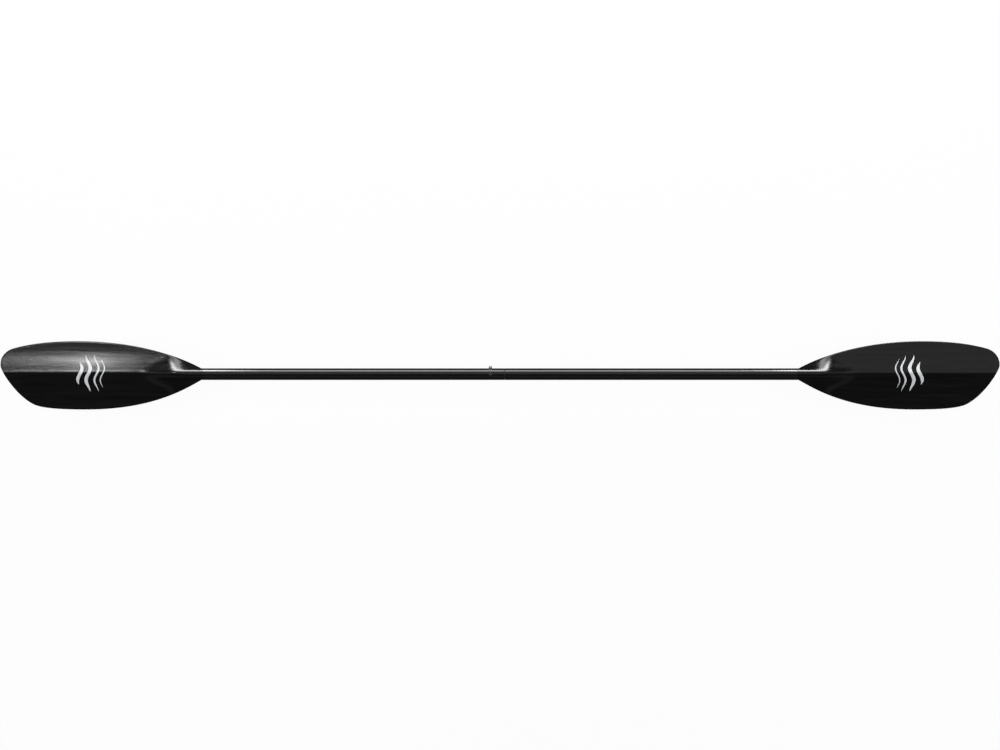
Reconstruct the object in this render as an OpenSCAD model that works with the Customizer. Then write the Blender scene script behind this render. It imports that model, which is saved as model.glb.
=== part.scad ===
// Two-piece kayak paddle with asymmetric dihedral blades.
// X runs along the shaft. The blade faces look up, +Z, and the longer blade edges lie towards +Y.
// The origin is on the shaft axis, at the inner end of the right tube, where the two halves meet.

/* [Paddle] */
// Length over both blade tips
paddle_length = 2400; // [2100:10:2500]
// Distance from the middle of the paddle to the joint between its halves
joint_offset = 12; // [8:1:40]

/* [Shaft] */
// Outer diameter of the tubes
shaft_od = 28; // [27:0.5:30]
// Wall of the tubes
tube_wall = 1.9; // [1.6:0.1:2.2]

/* [Blade] */
// Length of a blade from its tip to the end of the tube
blade_length = 486; // [460:2:510]
// Reach of the longer side's edge from the shaft axis
upper_reach = 79.5; // [70:0.5:85]
// Reach of the shorter side's edge from the shaft axis
lower_reach = 85; // [75:0.5:90]
// How far the tip curls up towards the face
tip_lift = 20; // [10:1:30]
// How far the edges lie behind the ridge that runs down the face
ridge_height = 16; // [14:1:20]
// Thickness at the rim
rim_thickness = 3; // [2:0.2:4]
// Height of the rib along the back, on top of the rim's thickness
rib_height = 6; // [3:0.5:8]
// Length of the root that is glued into the tube
root_length = 80; // [50:5:120]

/* [Take-apart joint] */
// Length of the insert inside the left tube
insert_out = 90; // [70:5:120]
// Length of the insert that is bonded into the right tube
insert_in = 70; // [50:5:100]
// Wall of the insert
insert_wall = 2; // [1.5:0.1:2.5]
// Distance of the snap button from the joint
button_distance = 35; // [32:1:45]
// Diameter of the snap button
button_d = 8; // [7:0.5:9]
// How far the button stands out of the shaft
button_out = 6; // [4:0.5:7]
// Direction of the button, from +Z towards +Y
button_angle = 66; // [50:1:80]
// Angle between two feather settings
feather_step = 60; // [30:5:60]
// Width of the seal between the tubes
seal_width = 1.7; // [1.4:0.1:2]

/* [Hidden] */

slide_gap = 0.08;       // radial gap of the insert in the left tube
glue_gap = 0.1;         // radial gap around a glued blade root
hole_gap = 0.25;        // radial gap around the button
seal_gap = 0.05;        // gap on each side of the seal
plug_length = 30;
plug_distance = 35;     // from the insert's end to the plug

shaft_r = shaft_od / 2;
bore_r = shaft_r - tube_wall;
insert_r = bore_r - slide_gap;
insert_bore_r = insert_r - insert_wall;
root_r = bore_r - glue_gap;

left_face = -(seal_width + 2 * seal_gap);
left_tip = -(paddle_length / 2 + joint_offset);
right_tip = paddle_length / 2 - joint_offset;
left_end = left_tip + blade_length;
right_end = right_tip - blade_length;
button_x = -button_distance;

// ---- Blade --------------------------------------------------------------------------------------
// A blade is drawn with s along the shaft, from 0 at the tip to blade_length at the tube, and y across.
// Its skin is a loop of points at each station, lofted from the tip to the round collar at the tube.

collar = 3;             // round stretch between the blade's shoulders and the tube
shoulder_s = blade_length - collar;
tip_y = 22;             // the tip's furthest point lies above the shaft axis
ridge_y = 3;            // the ridge runs a little above the shaft axis
stations = 60;          // along the blade
quarter = 10;           // points from an edge to the middle line
rim_round = 4;          // distance from the edge over which the rim rounds off
stretch = shoulder_s / 483;

function bezier(p, t) =
    pow(1 - t, 3) * p[0] + 3 * pow(1 - t, 2) * t * p[1]
    + 3 * (1 - t) * t * t * p[2] + pow(t, 3) * p[3];

function ease(t) = let (c = min(max(t, 0), 1)) c * c * (3 - 2 * c);

// Each edge is three curves: round the tip's corner, out to the widest place, and in to the shoulder.
upper_edge = [
    [[0, tip_y], [0, 46], [19, upper_reach - 20.5], [32, upper_reach - 17.5]],
    [[32, upper_reach - 17.5], [64, upper_reach - 8.5], [112, upper_reach], [186, upper_reach]],
    [[186, upper_reach], [350, upper_reach], [453, shaft_r + 16.5], [483, shaft_r]]
];
lower_edge = [
    [[0, tip_y], [0, 6], [44, 26 - lower_reach], [86, 10 - lower_reach]],
    [[86, 10 - lower_reach], [112, 1 - lower_reach], [166, -lower_reach], [206, -lower_reach]],
    [[206, -lower_reach], [360, -lower_reach], [438, -shaft_r - 26], [483, -shaft_r]]
];

// The point of an edge at k, which runs from 0 at the tip to 3 at the shoulder
function edge_point(edge, k) =
    let (i = min(floor(k), 2), p = bezier(edge[i], k - i))
    [p[0] * stretch, p[1]];

// The face curls up towards the tip
function curl(s) = tip_lift * pow(1 - s / blade_length, 3);

// Each half of the face falls away from the ridge, steeply at first and level at the edge
function drop(y) =
    let (
        soft = 0.04,
        a = abs(y - ridge_y) / (lower_reach + ridge_y),
        b = (sqrt(a * a + soft * soft) - soft) / (sqrt(1 + soft * soft) - soft)
    )
    ridge_height * (1 - pow(1 - min(b, 1), 1.8));

// Near the tube the ridge swells into a cone, which is as high as the tube
function swell(s) = ease((s - shoulder_s + 150) / 100);
function cone_width(s) = max(12, 14 + 0.24 * (s - shoulder_s + 123));
function cone(s, y) = shaft_r * swell(s) * exp(-pow(y / cone_width(s), 2));

function blade_face(s, y) = curl(s) - drop(y) + cone(s, y);

// The rib along the back fades out towards the tip, and fills the cone from behind
function rib(s, y) =
    let (a = min(abs(y) / 24, 1))
    pow(1 - a * a, 2) * (rib_height * ease((s - 60) / 260) + 1.35 * shaft_r * swell(s));

function blade_back(s, y) = blade_face(s, y) - rim_thickness - rib(s, y);

// Upper side of the tube's circle with a straight flank from it to an edge at (reach, level)
function flank(y, reach, level) =
    let (
        d = max(norm([reach, level]), shaft_r),
        a = atan2(level, reach) + acos(shaft_r / d),
        ty = shaft_r * cos(a),
        tz = shaft_r * sin(a)
    )
    y <= ty ? sqrt(max(shaft_r * shaft_r - y * y, 0))
        : level + (tz - level) * (reach - y) / max(reach - ty, 0.001);

// 0 on the blade and 1 where its section is the tube with two flanks
function throat(s) = ease((s - shoulder_s + 92) / 48);

// 0 where the edges stand clear of the tube and 1 where they meet its side
function merge(s) = ease((s - shoulder_s + 28) / 28);

// One point of the skin. share is 0 on the middle line and 1 at the edge, and edge is the point there.
function skin_point(middle, edge, share, face) =
    let (
        s = middle[0] + (edge[0] - middle[0]) * share,
        y = middle[1] + (edge[1] - middle[1]) * share,
        level = (1 - ridge_height) * (1 - merge(s)),
        rim = rim_thickness * (1 - merge(s)),
        reach = abs(edge[1]),
        b = throat(s),
        top = (1 - b) * blade_face(s, y) + b * flank(abs(y), reach, level),
        low = (1 - b) * blade_back(s, y) - b * flank(abs(y), reach, rim - level),
        c = 1 - min(abs(edge[1] - y) / rim_round, 1),
        full = sqrt(1 - c * c) * (1 - merge(s)) + merge(s),
        half = (top - low) / 2 * full
    )
    [s, y, (top + low) / 2 + (face ? half : -half)];

// The loop of points at k: over the face from the upper edge to the lower one, and back below
function skin_ring(k) =
    let (
        upper = edge_point(upper_edge, k),
        lower = edge_point(lower_edge, k),
        y = (upper[1] + lower[1]) / 2 * (1 - ease(2 * k)),
        part = (upper[1] - y) / (upper[1] - lower[1]),
        middle = [upper[0] + (lower[0] - upper[0]) * part, y]
    )
    [
        for (j = [0:4 * quarter - 1])
            let (
                side = floor(j / quarter),
                half = (1 - cos(180 * (j % quarter) / quarter)) / 2,
                share = side % 2 == 0 ? 1 - half : half
            )
            skin_point(middle, side == 0 || side == 3 ? upper : lower, share, side < 2)
    ];

tip_point = [0, tip_y, blade_face(0, tip_y) - rim_thickness / 2];

// Stations are closer together round the tip
station_k = [for (i = [1:stations]) 3 * pow(i / stations, 1.25)];

module blade_skin() {
    shoulder = skin_ring(3);
    end = [for (p = shoulder) [blade_length, p[1], p[2]]];
    rings = concat([for (k = station_k) skin_ring(k)], [end]);
    around = 4 * quarter;
    count = len(rings);
    points = concat([tip_point], [for (r = rings) each r]);
    function at(i, j) = 1 + i * around + j % around;
    polyhedron(
        points,
        concat(
            [for (j = [0:around - 1]) [0, at(0, j), at(0, j + 1)]],
            [for (i = [0:count - 2], j = [0:around - 1]) [at(i, j), at(i + 1, j), at(i + 1, j + 1)]],
            [for (i = [0:count - 2], j = [0:around - 1]) [at(i, j), at(i + 1, j + 1), at(i, j + 1)]],
            [[for (j = [around - 1:-1:0]) at(count - 1, j)]]
        )
    );
}

// The blade with the root that is glued into the tube
module blade() {
    blade_skin();
    translate([blade_length, 0, 0])
        rotate([0, 90, 0])
            cylinder(r = root_r, h = root_length, $fn = 96);
}

// ---- Tubes and joint ----------------------------------------------------------------------------

module along_x(x0, x1, r) {
    translate([x0, 0, 0])
        rotate([0, 90, 0])
            cylinder(r = r, h = x1 - x0, $fn = 96);
}

module tube(x0, x1, outer, inner) {
    difference() {
        along_x(x0, x1, outer);
        along_x(x0 - 1, x1 + 1, inner);
    }
}

// Turns what is drawn along +Z at the button to a direction round the shaft
module at_button(angle) {
    translate([button_x, 0, 0])
        rotate([-angle, 0, 0])
            children();
}

module button_hole(angle) {
    at_button(angle)
        cylinder(r = button_d / 2 + hole_gap, h = shaft_r + 2, $fn = 64);
}

module blade_left() {
    color("#1c1c1e")
        translate([left_tip, 0, 0])
            blade();
}

module blade_right() {
    color("#1c1c1e")
        translate([right_tip, 0, 0])
            mirror([1, 0, 0])
                blade();
}

module shaft_left() {
    color("#101012")
        difference() {
            tube(left_end, left_face, shaft_r, bore_r);
            for (setting = [-1:1])
                button_hole(button_angle + setting * feather_step);
        }
}

module shaft_right() {
    color("#101012")
        tube(0, right_end, shaft_r, bore_r);
}

module ferrule_insert() {
    color("#3a3a3c")
        difference() {
            union() {
                tube(-insert_out, 0, insert_r, insert_bore_r);
                tube(0, insert_in, bore_r, insert_bore_r);
            }
            button_hole(button_angle);
        }
}

clip_width = 8;
clip_strip = 0.8;
clip_reach = 28;        // from the button to the bend
clip_foot = 5;          // length of the legs behind the button
bend_r = 2.4;           // outer radius of the bend
leg_z = insert_bore_r - 1;

// Side view of the spring: two legs that meet in a round bend, with x along the shaft
module clip_profile() {
    difference() {
        hull() {
            translate([-clip_foot, leg_z - clip_strip])
                square([clip_foot * 2, clip_strip]);
            translate([-clip_foot, -leg_z])
                square([clip_foot * 2, clip_strip]);
            translate([clip_reach, 0])
                circle(r = bend_r, $fn = 48);
        }
        hull() {
            translate([-clip_foot - 1, -leg_z + clip_strip])
                square([clip_foot * 2 + 1, 2 * (leg_z - clip_strip)]);
            translate([clip_reach, 0])
                circle(r = bend_r - clip_strip, $fn = 48);
        }
    }
}

module snap_clip() {
    dome = 1.5;
    top = shaft_r + button_out;
    color("#8c8f92")
        at_button(button_angle) {
            translate([0, clip_width / 2, 0])
                rotate([90, 0, 0])
                    linear_extrude(clip_width)
                        clip_profile();
            rotate_extrude($fn = 64)
                intersection() {
                    union() {
                        translate([0, leg_z - clip_strip / 2])
                            square([button_d / 2, top - dome - leg_z + clip_strip / 2]);
                        translate([button_d / 2 - dome, top - dome])
                            circle(r = dome, $fn = 48);
                        translate([0, top - dome])
                            square([button_d / 2 - dome, dome]);
                    }
                    square([button_d, top]);
                }
        }
}

module seal_ring() {
    r = seal_width / 2;
    color("#0c0c0c")
        translate([left_face / 2, 0, 0])
            rotate([0, 90, 0])
                rotate_extrude($fn = 96)
                    translate([shaft_r - r - 0.15, 0])
                        circle(r = r, $fn = 32);
}

module plug(x0, r) {
    color("#5b5b5e")
        along_x(x0, x0 + plug_length, r);
}

module plug_left() {
    plug(-insert_out - plug_distance - plug_length, bore_r);
}

module plug_right() {
    plug(insert_in + plug_distance, bore_r);
}

blade_left();
blade_right();
shaft_left();
shaft_right();
ferrule_insert();
snap_clip();
seal_ring();
plug_left();
plug_right();
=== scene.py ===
"""The looks of a two-piece kayak paddle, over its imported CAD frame.

Lengths are in metres. +X runs along the shaft, and the blade faces look up.
"""

import math

import bpy
import numpy as np
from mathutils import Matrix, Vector


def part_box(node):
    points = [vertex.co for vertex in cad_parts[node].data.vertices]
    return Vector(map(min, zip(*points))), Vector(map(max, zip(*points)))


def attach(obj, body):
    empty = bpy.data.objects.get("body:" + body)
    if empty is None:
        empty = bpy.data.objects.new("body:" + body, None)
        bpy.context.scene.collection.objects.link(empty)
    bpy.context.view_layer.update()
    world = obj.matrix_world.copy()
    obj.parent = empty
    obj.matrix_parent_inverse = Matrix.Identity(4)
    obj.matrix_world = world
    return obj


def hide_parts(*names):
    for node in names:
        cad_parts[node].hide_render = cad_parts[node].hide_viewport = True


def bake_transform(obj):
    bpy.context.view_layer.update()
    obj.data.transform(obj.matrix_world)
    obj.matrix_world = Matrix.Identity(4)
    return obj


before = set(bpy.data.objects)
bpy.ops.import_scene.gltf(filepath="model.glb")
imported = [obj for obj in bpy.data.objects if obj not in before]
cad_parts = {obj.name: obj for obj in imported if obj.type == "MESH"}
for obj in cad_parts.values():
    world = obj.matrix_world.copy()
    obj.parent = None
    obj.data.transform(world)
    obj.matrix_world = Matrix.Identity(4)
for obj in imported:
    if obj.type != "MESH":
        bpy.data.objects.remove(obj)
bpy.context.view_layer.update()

MM = 0.001

# ---- Sizes taken from the frame -------------------------------------------------------------------

LEFT_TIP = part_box("blade_left")[0].x
RIGHT_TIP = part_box("blade_right")[1].x
LEFT_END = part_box("shaft_left")[0].x
SHAFT_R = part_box("shaft_right")[1].z
UPPER_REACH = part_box("blade_left")[1].y
LOWER_REACH = -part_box("blade_left")[0].y
BLADE_LENGTH = LEFT_END - LEFT_TIP
MIDDLE_X = (LEFT_TIP + RIGHT_TIP) / 2
FLOOR_Z = -95 * MM          # well under the paddle, so that a blade feathered by 60 degrees clears it
SHARP = math.radians(40)    # edges that turn by more than this stay sharp

# ---- The blade's shape, as in the CAD -------------------------------------------------------------
# s runs along the shaft from the tip and y across, in metres.

COLLAR = 3 * MM             # round stretch between the blade's shoulders and the tube
SHOULDER = BLADE_LENGTH - COLLAR
RIDGE_Y = 3 * MM
RIDGE_SOFT = 0.04           # half width of the ridge's rounding, as a share of the blade's reach
RIDGE_HEIGHT = 16 * MM
RIDGE_FALL = 1.8            # above 1, the halves fall steeply by the ridge and level out by the edge
TIP_LIFT = 20 * MM
RIM = 3 * MM                # thickness of the plate behind its rim
RIM_ROUND = 4 * MM          # distance from the edge over which the rim rounds off
RIB_HEIGHT = 6 * MM
RIB_HALF_WIDTH = 24 * MM
RIB_START = 0.060           # from the tip
RIB_RISE = 0.260            # length over which the rib grows to its height
SWELL_START = 0.150         # before the shoulder, as are the other starts
SWELL_LENGTH = 0.100
THROAT_START = 0.092
THROAT_LENGTH = 0.048
MERGE_LENGTH = 0.028
CONE_START = 0.123
CONE_WIDTH = 0.014          # half width at its start
CONE_SPREAD = 0.24          # how much the half width grows for each metre
CONE_LEAST = 0.012          # least half width
CONE_BACK = 1.35            # how far the cone stands out of the back, as a share of the tube's radius

# The edges, each as three cubic curves of points (s, y), in millimetres from the tip to the shoulder.
TIP_Y = 22
UPPER = UPPER_REACH / MM
LOWER = LOWER_REACH / MM
TUBE_SIDE = SHAFT_R / MM
UPPER_EDGE = [
    [(0, TIP_Y), (0, 46), (19, UPPER - 20.5), (32, UPPER - 17.5)],
    [(32, UPPER - 17.5), (64, UPPER - 8.5), (112, UPPER), (186, UPPER)],
    [(186, UPPER), (350, UPPER), (453, TUBE_SIDE + 16.5), (483, TUBE_SIDE)],
]
LOWER_EDGE = [
    [(0, TIP_Y), (0, 6), (44, 26 - LOWER), (86, 10 - LOWER)],
    [(86, 10 - LOWER), (112, 1 - LOWER), (166, -LOWER), (206, -LOWER)],
    [(206, -LOWER), (360, -LOWER), (438, -TUBE_SIDE - 26), (483, -TUBE_SIDE)],
]


def edge_points(edge, k):
    """Points of an edge, in metres, at k from 0 at the tip to 3 at the shoulder."""
    i = np.minimum(k.astype(int), 2)
    t = (k - i)[:, None]
    p = np.array(edge, float)[i] * MM
    return (
        (1 - t) ** 3 * p[:, 0] + 3 * (1 - t) ** 2 * t * p[:, 1]
        + 3 * (1 - t) * t * t * p[:, 2] + t**3 * p[:, 3]
    )


def ease(t):
    """A smooth step from 0 to 1, level at both ends."""
    t = np.clip(t, 0, 1)
    return t * t * (3 - 2 * t)


def swell(s):
    """0 on the blade and 1 where its ridge is as high as the tube."""
    return ease((s - SHOULDER + SWELL_START) / SWELL_LENGTH)


def throat(s):
    """0 on the blade and 1 where its section is the tube with two flanks."""
    return ease((s - SHOULDER + THROAT_START) / THROAT_LENGTH)


def merge(s):
    """0 where the edges stand clear of the tube and 1 where they meet its side."""
    return ease((s - SHOULDER + MERGE_LENGTH) / MERGE_LENGTH)


def blade_face(s, y):
    """Height of the face: a curl up to the tip, a ridge with hollow halves, and the cone by the tube."""
    curl = TIP_LIFT * (1 - s / BLADE_LENGTH) ** 3
    a = np.abs(y - RIDGE_Y) / (LOWER_REACH + RIDGE_Y)
    b = (np.sqrt(a * a + RIDGE_SOFT**2) - RIDGE_SOFT) / (math.sqrt(1 + RIDGE_SOFT**2) - RIDGE_SOFT)
    drop = RIDGE_HEIGHT * (1 - (1 - np.minimum(b, 1)) ** RIDGE_FALL)
    width = np.maximum(CONE_LEAST, CONE_WIDTH + CONE_SPREAD * (s - SHOULDER + CONE_START))
    return curl - drop + SHAFT_R * swell(s) * np.exp(-((y / width) ** 2))


def blade_back(s, y):
    """Height of the back: the face less the plate's thickness, with a rib and the cone's other side."""
    a = np.minimum(np.abs(y) / RIB_HALF_WIDTH, 1)
    height = RIB_HEIGHT * ease((s - RIB_START) / RIB_RISE) + CONE_BACK * SHAFT_R * swell(s)
    return blade_face(s, y) - RIM - (1 - a * a) ** 2 * height


def flank(y, reach, level):
    """Upper side of the tube's circle with a straight flank from it to an edge at (reach, level)."""
    away = np.maximum(np.hypot(reach, level), SHAFT_R)
    angle = np.arctan2(level, reach) + np.arccos(SHAFT_R / away)
    ty, tz = SHAFT_R * np.cos(angle), SHAFT_R * np.sin(angle)
    circle = np.sqrt(np.maximum(SHAFT_R**2 - y * y, 0))
    line = level + (tz - level) * (reach - y) / np.maximum(reach - ty, 0.001 * MM)
    return np.where(y <= ty, circle, line)


def surfaces(s, y, reach):
    """Heights of the face and the back where the blade's edge is at reach, the rim's rounding left out."""
    level = (MM - RIDGE_HEIGHT) * (1 - merge(s))
    rim = RIM * (1 - merge(s))
    b = throat(s)
    top = (1 - b) * blade_face(s, y) + b * flank(np.abs(y), reach, level)
    low = (1 - b) * blade_back(s, y) - b * flank(np.abs(y), reach, rim - level)
    return top, low


def section(upper, lower, k, quarter):
    """The loop of points (s, y, z) at k: over the face to the lower edge and back along the underside."""
    y = (upper[1] + lower[1]) / 2 * (1 - ease(2 * k))
    middle = np.array([upper[0] + (lower[0] - upper[0]) * (upper[1] - y) / (upper[1] - lower[1]), y])
    half = (1 - np.cos(np.pi * np.arange(quarter) / quarter)) / 2
    share = np.concatenate([1 - half, half, 1 - half, half])[:, None]
    side = np.repeat(np.arange(4), quarter)
    edge = np.where(((side == 0) | (side == 3))[:, None], upper, lower)
    s, y = (middle + (edge - middle) * share).T
    top, low = surfaces(s, y, np.abs(edge[:, 1]))
    c = 1 - np.minimum(np.abs(edge[:, 1] - y) / RIM_ROUND, 1)
    full = np.sqrt(1 - c * c) * (1 - merge(s)) + merge(s)
    depth = (top - low) / 2 * full
    return np.stack([s, y, (top + low) / 2 + np.where(side < 2, depth, -depth)], 1)


def mesh_object(name, points, faces, smooth=True):
    """A new object with this mesh, shaded smooth or flat."""
    mesh = bpy.data.meshes.new(name)
    mesh.from_pydata([tuple(p) for p in points], [], [tuple(f) for f in faces])
    mesh.validate()
    mesh.update()
    for polygon in mesh.polygons:
        polygon.use_smooth = smooth
    made = bpy.data.objects.new(name, mesh)
    bpy.context.collection.objects.link(made)
    return made


def placed(points, right):
    """Blade points (s, y, z) in the frame, for the left blade or its mirror image on the right."""
    x = RIGHT_TIP - points[:, 0] if right else LEFT_TIP + points[:, 0]
    return np.stack([x, points[:, 1], points[:, 2]], 1)


def skin_faces(rings, around, right):
    """Quads between rings, a fan at the tip point 0 and a cap at the last ring."""
    faces = []

    def at(i, j):
        return 1 + i * around + j % around

    for j in range(around):
        faces.append((0, at(0, j + 1), at(0, j)))
    for i in range(rings - 1):
        for j in range(around):
            faces.append((at(i, j), at(i, j + 1), at(i + 1, j + 1), at(i + 1, j)))
    faces.append([at(rings - 1, j) for j in range(around)])
    return [tuple(reversed(f)) for f in faces] if right else faces


def tube_faces(rings, around):
    """Quads between closed rings of points, with a cap at each end."""
    faces = []
    for i in range(rings - 1):
        here, ahead = i * around, (i + 1) * around
        for j in range(around):
            k = (j + 1) % around
            faces.append((here + j, here + k, ahead + k, ahead + j))
    first, last = range(around), range((rings - 1) * around, rings * around)
    return faces + [tuple(reversed(first)), tuple(last)]


def blade(node_name, right, body):
    """The moulded blade: a smooth skin over the CAD's shape, and the root inside the tube."""
    stations, quarter = 240, 36
    crowding = 1.25         # above 1, the stations lie closer together towards the tip
    k = 3 * (np.arange(1, stations + 1) / stations) ** crowding
    edges = zip(edge_points(UPPER_EDGE, k), edge_points(LOWER_EDGE, k), k)
    rings = [section(upper, lower, place, quarter) for upper, lower, place in edges]
    across, up = rings[-1][:, 1] / SHAFT_R, rings[-1][:, 2] / SHAFT_R
    root_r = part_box("plug_left")[1].z - 0.1 * MM      # the plug fills the bore, the root has a little room
    root_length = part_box("blade_left")[1].x - LEFT_END
    for s, r in ((BLADE_LENGTH, SHAFT_R), (BLADE_LENGTH, root_r), (BLADE_LENGTH + root_length, root_r)):
        rings.append(np.stack([np.full_like(across, s), r * across, r * up], 1))
    tip = np.array([[0, TIP_Y * MM, blade_face(0, TIP_Y * MM) - RIM / 2]])
    points = placed(np.vstack([tip, *rings]), right)
    made = mesh_object(node_name + "_skin", points, skin_faces(len(rings), 4 * quarter, right))
    made.data.set_sharp_from_angle(angle=SHARP)
    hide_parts(node_name)
    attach(made, body)
    return made


# ---- Printed mark ---------------------------------------------------------------------------------

MARK_LENGTH = 88 * MM       # across the blade
MARK_LIFT = 0.12 * MM       # how far the ink stands proud
MARK_MIDDLE = 2 * MM        # y of the lines' middles
MARK_WAVE = 5 * MM          # how far a line swings to either side
MARK_PERIOD = 58 * MM
MARK_POINT = 0.05 * MM      # half width that is left at a line's ends
# Each line's place from the tip, its length as a share of MARK_LENGTH, and its width.
MARK_LINES = [
    (191 * MM, 0.62, 9 * MM),
    (211 * MM, 1.0, 9 * MM),
    (231 * MM, 1.0, 5 * MM),
    (245 * MM, 0.8, 3 * MM),
]


def mark_line(s_middle, share, width):
    """Points of one wavy line of ink across the blade: rows from rim to rim, tapered at both ends."""
    along, across = 120, (-1, -0.97, -0.5, 0, 0.5, 0.97, 1)
    rows = []
    for i in range(along + 1):
        t = 2 * i / along - 1
        y = MARK_MIDDLE + t * share * MARK_LENGTH / 2
        half = max(width / 2 * (1 - abs(t) ** 3), MARK_POINT)
        s = s_middle + MARK_WAVE * math.sin(2 * math.pi * y / MARK_PERIOD) + half * np.array(across)
        lift = np.where(np.abs(across) == 1, -MARK_LIFT, MARK_LIFT)
        rows.append(np.stack([s, np.full_like(s, y), blade_face(s, y) + lift], 1))
    return rows


def mark(node_name, right, body):
    """A plain printed mark of wavy lines on a blade's face."""
    points, faces = [], []
    for s_middle, share, width in MARK_LINES:
        rows = mark_line(s_middle, share, width)
        n = len(rows[0])
        start = sum(len(p) for p in points)
        points += rows
        for i in range(len(rows) - 1):
            for j in range(n - 1):
                a = start + i * n + j
                faces.append((a, a + 1, a + n + 1, a + n))
    if right:
        faces = [tuple(reversed(f)) for f in faces]
    made = mesh_object(node_name + "_mark", placed(np.vstack(points), right), faces)
    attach(made, body)
    return made


# ---- Button and spring ----------------------------------------------------------------------------

BUTTON_X = -35 * MM
BUTTON_ANGLE = math.radians(66)         # from +Z towards +Y
BUTTON_R = 4 * MM
BUTTON_TOP = SHAFT_R + 6 * MM
BUTTON_CROWN = 1.5 * MM                 # rounding of the button's top edge
FLARE = 0.15 * MM                       # how far the button's foot stands out
LEG_Z = 9.02 * MM                       # outside of the upper leg, from the shaft axis
STRIP = 0.8 * MM                        # thickness of the strip
STRIP_WIDTH = 8 * MM
STRIP_RIM = 0.15 * MM                   # rounding of its long edges
REACH = 28 * MM                         # from the button's middle to the middle of the bend
FOOT = 5 * MM                           # from the button's middle to the leg's free end
FLAT = 10                               # length of the level stretch under the button, in millimetres
BEND_R = 2.4 * MM                       # outside of the bend


def at_button(points):
    """Points with z along the button, moved to the button's place on the shaft."""
    c, s = math.cos(BUTTON_ANGLE), math.sin(BUTTON_ANGLE)
    x, y, z = np.array(points, float).T
    return np.stack([x + BUTTON_X, y * c + z * s, z * c - y * s], 1)


def strip_line():
    """Middle line (x, z) of the spring strip, from the button's foot round the bend to the other leg."""
    leg = LEG_Z - STRIP / 2
    r = BEND_R - STRIP / 2
    upper = [(-FOOT + i * MM, leg) for i in range(FLAT + 1)]
    slope = math.atan2(leg - r, REACH - FOOT)
    first = math.pi / 2 - slope * 0.6       # the bend begins a little before the slant would touch it
    bend = [(REACH + r * math.cos(a), r * math.sin(a)) for a in np.linspace(first, -first, 25)]
    start, end = np.array(upper[-1]), np.array(bend[0])
    slant = [tuple(start + (end - start) * t) for t in np.linspace(0, 1, 14)[1:-1]]
    lower = [(x, -z) for x, z in reversed(upper + slant)]
    return np.array(upper + slant + bend + lower)


def spring():
    """The bent spring strip at the button's place, from the button's foot round the bend to the other leg."""
    line = strip_line()
    ahead = np.gradient(line, axis=0)
    ahead /= np.linalg.norm(ahead, axis=1)[:, None]
    out = np.stack([-ahead[:, 1], ahead[:, 0]], 1) * STRIP / 2
    half = STRIP_WIDTH / 2
    loop = [(1, STRIP_RIM - half), (1, half - STRIP_RIM), (0.6, half), (-0.6, half),
            (-1, half - STRIP_RIM), (-1, STRIP_RIM - half), (-0.6, -half), (0.6, -half)]
    points = [(x + u * ox, y, z + u * oz) for (x, z), (ox, oz) in zip(line, out) for u, y in loop]
    made = mesh_object("button_spring", at_button(points), tube_faces(len(line), len(loop)))
    made.data.set_sharp_from_angle(angle=SHARP)
    return made


def button_pin():
    """The pressed button: a short pin with a rounded crown and a small flare where it meets the strip."""
    base = LEG_Z - STRIP
    edge_r, edge_z = BUTTON_R - BUTTON_CROWN, BUTTON_TOP - BUTTON_CROWN
    foot_r = BUTTON_R + FLARE
    profile = [(0.2 * MM, base), (foot_r, base), (foot_r, LEG_Z), (BUTTON_R, LEG_Z + 0.5 * MM)]
    for a in np.linspace(math.pi / 2, 0, 9):
        profile.append((edge_r + BUTTON_CROWN * math.sin(a), edge_z + BUTTON_CROWN * math.cos(a)))
    profile += [(0.8 * MM, BUTTON_TOP), (0.2 * MM, BUTTON_TOP - 0.1 * MM)]
    around = 48
    angles = np.arange(around) * 2 * math.pi / around
    points = [(r * math.cos(a), r * math.sin(a), z) for r, z in profile for a in angles]
    made = mesh_object("button_pin", at_button(points), tube_faces(len(profile), around))
    made.data.set_sharp_from_angle(angle=SHARP)
    return made


# ---- Materials ------------------------------------------------------------------------------------


def new_material(name):
    """A new material, its node tree and its shader."""
    material = bpy.data.materials.new(name)
    material.use_nodes = True
    tree = material.node_tree
    return material, tree, tree.nodes["Principled BSDF"]


def node(tree, kind, **values):
    """A shader node with its inputs set by name or its properties set."""
    made = tree.nodes.new(kind)
    for key, value in values.items():
        if key in made.inputs:
            made.inputs[key].default_value = value
        else:
            setattr(made, key, value)
    return made


def coordinates(tree, scale):
    """Object coordinates stretched by scale along X, Y and Z."""
    place = node(tree, "ShaderNodeTexCoord")
    mapping = node(tree, "ShaderNodeMapping")
    mapping.inputs["Scale"].default_value = scale
    tree.links.new(place.outputs["Object"], mapping.inputs["Vector"])
    return mapping.outputs["Vector"]


def noise(tree, vector, scale, detail, rough):
    made = node(tree, "ShaderNodeTexNoise", Scale=scale, Detail=detail, Roughness=rough)
    tree.links.new(vector, made.inputs["Vector"])
    return made.outputs["Fac"]


def remap(tree, value, low, high, start=0.3, end=0.7):
    """value from start..end to low..high."""
    made = node(tree, "ShaderNodeMapRange")
    made.inputs["From Min"].default_value = start
    made.inputs["From Max"].default_value = end
    made.inputs["To Min"].default_value = low
    made.inputs["To Max"].default_value = high
    tree.links.new(value, made.inputs["Value"])
    return made.outputs["Result"]


def blend_colours(tree, fac, first, second):
    made = node(tree, "ShaderNodeMix", data_type="RGBA")
    made.inputs["A"].default_value = (*first, 1)
    made.inputs["B"].default_value = (*second, 1)
    tree.links.new(fac, made.inputs["Factor"])
    return made.outputs["Result"]


def bump(tree, height, strength, distance, below=None):
    made = node(tree, "ShaderNodeBump", Strength=strength, Distance=distance)
    tree.links.new(height, made.inputs["Height"])
    if below is not None:
        tree.links.new(below, made.inputs["Normal"])
    return made.outputs["Normal"]


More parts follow.
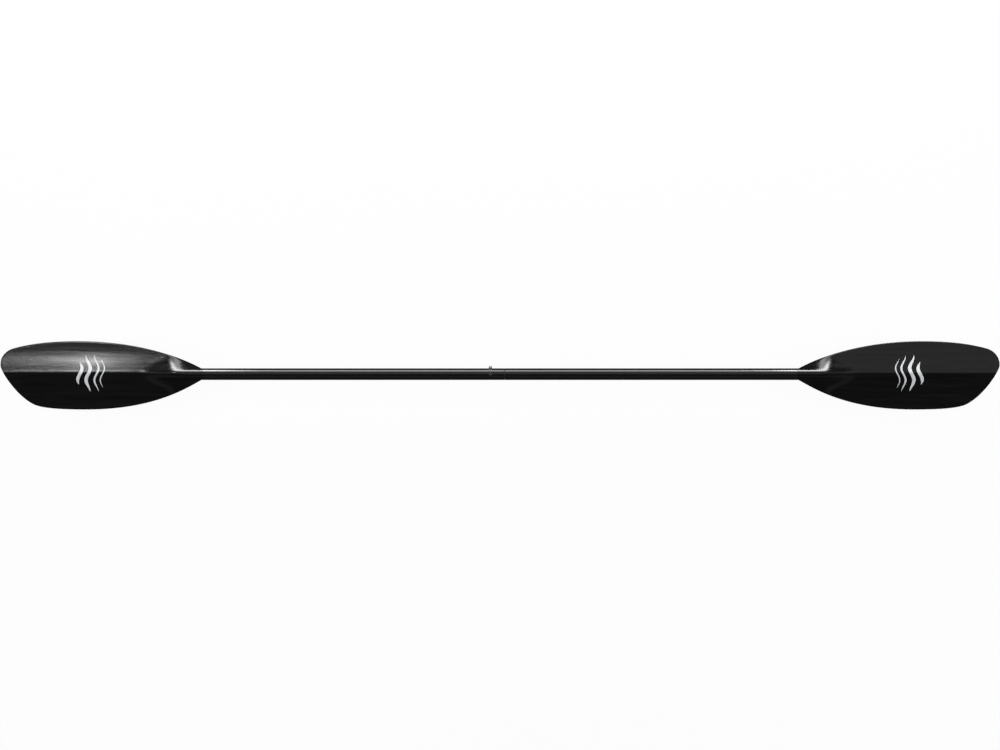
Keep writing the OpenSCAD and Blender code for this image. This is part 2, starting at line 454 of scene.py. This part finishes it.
def blade_nylon():
    """Black glass-filled nylon: flow streaks along the blade, a fine fibre grain and light rub marks.

    It is darker than real black nylon, to suit this scene's strong side light.
    """
    material, tree, shader = new_material("blade_nylon")
    link = tree.links.new
    streaks = noise(tree, coordinates(tree, (1.6, 60, 60)), 2.2, 5, 0.6)
    clouds = noise(tree, coordinates(tree, (5, 9, 9)), 2.0, 3, 0.5)
    fibres = noise(tree, coordinates(tree, (350, 900, 900)), 1.0, 3, 0.6)
    scuffs = noise(tree, coordinates(tree, (14, 420, 420)), 1.0, 6, 0.7)
    colour = blend_colours(tree, remap(tree, streaks, 0, 1), (0.0025, 0.0025, 0.0028), (0.007, 0.007, 0.0077))
    link(colour, shader.inputs["Base Color"])
    mix = node(tree, "ShaderNodeMath", operation="ADD")
    link(remap(tree, streaks, 0.14, 0.20), mix.inputs[0])
    link(remap(tree, clouds, -0.02, 0.03), mix.inputs[1])
    link(mix.outputs[0], shader.inputs["Roughness"])
    fine = bump(tree, fibres, 0.10, 0.0002)
    rubbed = bump(tree, scuffs, 0.08, 0.0003, fine)
    link(bump(tree, streaks, 0.12, 0.0015, rubbed), shader.inputs["Normal"])
    shader.inputs["Specular IOR Level"].default_value = 0.75
    return material


def tube_fibreglass():
    """Gloss black wound fibreglass: a smooth glossy surface over crossed windings that barely show."""
    material, tree, shader = new_material("tube_fibreglass")
    link = tree.links.new
    grain = noise(tree, coordinates(tree, (40, 700, 700)), 1.0, 4, 0.6)
    clouds = noise(tree, coordinates(tree, (3, 30, 30)), 2.0, 3, 0.5)
    link(blend_colours(tree, remap(tree, grain, 0, 1), (0.004, 0.004, 0.005), (0.012, 0.012, 0.013)),
         shader.inputs["Base Color"])
    link(remap(tree, clouds, 0.08, 0.14), shader.inputs["Roughness"])
    wound = []
    for lean in (1, -1):
        wave = node(tree, "ShaderNodeTexWave", Scale=60.0, Distortion=1.5, Detail=2.0)
        turned = node(tree, "ShaderNodeMapping")
        turned.inputs["Rotation"].default_value = (0, 0, lean * math.radians(45))
        link(coordinates(tree, (1, 1, 1)), turned.inputs["Vector"])
        link(turned.outputs["Vector"], wave.inputs["Vector"])
        wound.append(wave.outputs["Fac"])
    first = bump(tree, wound[0], 0.03, 0.0002)
    link(bump(tree, wound[1], 0.03, 0.0002, first), shader.inputs["Normal"])
    shader.inputs["Specular IOR Level"].default_value = 1.0
    return material


def insert_fibreglass():
    """Bare dark-grey fibreglass, sanded round and slightly streaked by sliding in and out."""
    material, tree, shader = new_material("insert_fibreglass")
    link = tree.links.new
    slide = noise(tree, coordinates(tree, (12, 500, 500)), 1.0, 5, 0.6)
    specks = noise(tree, coordinates(tree, (600, 600, 600)), 1.0, 2, 0.5)
    link(blend_colours(tree, remap(tree, slide, 0, 1), (0.045, 0.046, 0.05), (0.11, 0.11, 0.115)),
         shader.inputs["Base Color"])
    link(remap(tree, slide, 0.42, 0.6), shader.inputs["Roughness"])
    link(bump(tree, specks, 0.15, 0.0002), shader.inputs["Normal"])
    return material


def spring_steel():
    """Stainless spring strip and pressed button, brushed along the shaft with a few dull marks."""
    material, tree, shader = new_material("spring_steel")
    link = tree.links.new
    brushed = noise(tree, coordinates(tree, (60, 2500, 2500)), 1.0, 4, 0.6)
    dull = noise(tree, coordinates(tree, (160, 160, 160)), 1.0, 3, 0.5)
    link(blend_colours(tree, remap(tree, dull, 0, 1), (0.42, 0.42, 0.43), (0.62, 0.62, 0.63)),
         shader.inputs["Base Color"])
    link(remap(tree, dull, 0.22, 0.38), shader.inputs["Roughness"])
    link(bump(tree, brushed, 0.12, 0.0001), shader.inputs["Normal"])
    shader.inputs["Metallic"].default_value = 1.0
    return material


def seal_rubber():
    """Black rubber ring, dull with a faint bloom."""
    material, tree, shader = new_material("seal_rubber")
    link = tree.links.new
    bloom = noise(tree, coordinates(tree, (300, 300, 300)), 1.0, 3, 0.6)
    link(blend_colours(tree, remap(tree, bloom, 0, 1), (0.008, 0.008, 0.008), (0.03, 0.03, 0.031)),
         shader.inputs["Base Color"])
    link(remap(tree, bloom, 0.5, 0.7), shader.inputs["Roughness"])
    link(bump(tree, bloom, 0.1, 0.0001), shader.inputs["Normal"])
    return material


def cell_foam():
    """Grey closed-cell foam: small round cells in light and dark."""
    material, tree, shader = new_material("cell_foam")
    link = tree.links.new
    cells = node(tree, "ShaderNodeTexVoronoi", Scale=1.0)
    link(coordinates(tree, (900, 900, 900)), cells.inputs["Vector"])
    distance = cells.outputs["Distance"]
    link(blend_colours(tree, remap(tree, distance, 0, 1, 0.1, 0.7), (0.10, 0.10, 0.105), (0.24, 0.24, 0.245)),
         shader.inputs["Base Color"])
    link(remap(tree, distance, 0.8, 0.95, 0, 1), shader.inputs["Roughness"])
    link(bump(tree, distance, 0.5, 0.0004), shader.inputs["Normal"])
    return material


def print_ink():
    """Off-white pad print, with the thin and worn spots of ink on plastic."""
    material, tree, shader = new_material("print_ink")
    link = tree.links.new
    worn = noise(tree, coordinates(tree, (220, 220, 220)), 1.0, 5, 0.6)
    link(blend_colours(tree, remap(tree, worn, 0, 1), (0.80, 0.81, 0.83), (0.90, 0.91, 0.92)),
         shader.inputs["Base Color"])
    link(remap(tree, worn, 0.35, 0.5), shader.inputs["Roughness"])
    link(bump(tree, worn, 0.1, 0.0001), shader.inputs["Normal"])
    return material


def dress(obj, material):
    """Gives every material slot of a piece this material."""
    if not obj.data.materials:
        obj.data.materials.append(material)
    for i in range(len(obj.material_slots)):
        obj.material_slots[i].link = "OBJECT"
        obj.material_slots[i].material = material


# ---- Pieces ---------------------------------------------------------------------------------------

NYLON = blade_nylon()
TUBE = tube_fibreglass()
STEEL = spring_steel()
INK = print_ink()

dress(blade("blade_left", False, "left_half"), NYLON)
dress(blade("blade_right", True, "right_half"), NYLON)
dress(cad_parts["shaft_left"], TUBE)
dress(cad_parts["shaft_right"], TUBE)
dress(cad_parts["ferrule_insert"], insert_fibreglass())
dress(mark("blade_left", False, "left_half"), INK)
dress(mark("blade_right", True, "right_half"), INK)

PIN = button_pin()
SPRING = spring()
for piece in (PIN, SPRING):
    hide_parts("snap_clip")
    dress(piece, STEEL)
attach(PIN, "button")
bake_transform(SPRING)
dress(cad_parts["seal_ring"], seal_rubber())
FOAM = cell_foam()
dress(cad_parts["plug_left"], FOAM)
dress(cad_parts["plug_right"], FOAM)

# ---- Floor, lights and camera ---------------------------------------------------------------------

FLOOR_HALF = 30
CAMERA_HEIGHT = 2.5
CAMERA_Y = -2 * MM
VIEW_MARGIN = 1.0006        # width of the view over the paddle's length
WORLD_STRENGTH = 0.03

# The lamps are placed for the reflections that the camera sees from straight above. The side light comes in
# sections: the outer ones stand opposite the throats, and the middle one is weaker.
SIDE_Y = 2.0
SIDE_SECTIONS = [           # name, x, width, share of the row's radiance
    ("left", -0.84, 0.38, 1),
    ("middle", 0, 1.3, 0.26),
    ("right", 0.82, 0.38, 1),
]
SIDE_ROWS = [               # name, z, height, radiance
    ("low", 0.435, 0.59, 15),
    ("high", 0.94, 0.42, 7.5),
]
SOFT_BOXES = [              # name, centre, target, width, height, radiance, shape
    ("side_box_top", (MIDDLE_X, SIDE_Y, 1.42), (MIDDLE_X, 0, 1.42), 1.9, 0.53, 2, "RECTANGLE"),
    ("top_box", (0, 1.4, 3.0), (0, 0.6, 0), 4.5, 2.4, 0.25, "RECTANGLE"),
    ("low_box", (MIDDLE_X, -2.2, 1.85), (MIDDLE_X, 0, 0), 4.5, 0.9, 0.08, "RECTANGLE"),
    ("end_box_left", (-3.2, 0.2, 2.2), (MIDDLE_X, 0, 0), 2.0, 1.6, 6, "RECTANGLE"),
    ("end_box_right", (3.2, 0.2, 2.2), (MIDDLE_X, 0, 0), 2.0, 1.6, 6, "RECTANGLE"),
    ("blade_box", (-0.93, 0.46, 0.8), (-1.03, 0.03, 0), 0.06, 0.11, 16, "ELLIPSE"),
]


def area_light(name, centre, target, width, height, radiance, shape):
    """A soft box of that radiance, which faces target and doesn't show itself to the camera."""
    data = bpy.data.lights.new(name, "AREA")
    data.shape = shape
    data.size = width
    data.size_y = height
    data.energy = radiance * width * height * math.pi
    made = bpy.data.objects.new(name, data)
    bpy.context.collection.objects.link(made)
    made.location = centre
    made.rotation_mode = "QUATERNION"
    made.rotation_quaternion = (Vector(target) - Vector(centre)).to_track_quat("-Z", "Y")
    made.visible_camera = False


def floor():
    """A plain, nearly white floor, under the paddle in all its poses."""
    corners = [(x * FLOOR_HALF, y * FLOOR_HALF, FLOOR_Z) for x, y in ((-1, -1), (1, -1), (1, 1), (-1, 1))]
    made = mesh_object("floor", corners, [(0, 1, 2, 3)], smooth=False)
    material, _, shader = new_material("floor_white")
    shader.inputs["Base Color"].default_value = (0.03, 0.03, 0.03, 1)
    shader.inputs["Roughness"].default_value = 0.9
    shader.inputs["Emission Color"].default_value = (1, 1, 1, 1)
    shader.inputs["Emission Strength"].default_value = 0.95
    dress(made, material)
    made.visible_glossy = False


def camera():
    """Straight down on the blade faces, as wide as the paddle."""
    data = bpy.data.cameras.new("camera")
    data.type = "ORTHO"
    data.ortho_scale = (RIGHT_TIP - LEFT_TIP) * VIEW_MARGIN
    data.clip_end = 100
    made = bpy.data.objects.new("camera", data)
    bpy.context.collection.objects.link(made)
    made.location = (MIDDLE_X, CAMERA_Y, CAMERA_HEIGHT)
    bpy.context.scene.camera = made


def lights():
    """A dim world and the soft boxes."""
    world = bpy.data.worlds.new("studio")
    world.use_nodes = True
    world.node_tree.nodes["Background"].inputs["Color"].default_value = (0.9, 0.95, 1, 1)
    world.node_tree.nodes["Background"].inputs["Strength"].default_value = WORLD_STRENGTH
    bpy.context.scene.world = world
    for section, x, width, share in SIDE_SECTIONS:
        for row, z, height, radiance in SIDE_ROWS:
            name = f"side_box_{row}_{section}"
            area_light(name, (x, SIDE_Y, z), (x, 0, z), width, height, radiance * share, "RECTANGLE")
    for box in SOFT_BOXES:
        area_light(*box)


floor()
lights()
camera()
bpy.context.scene.view_settings.view_transform = "Standard"
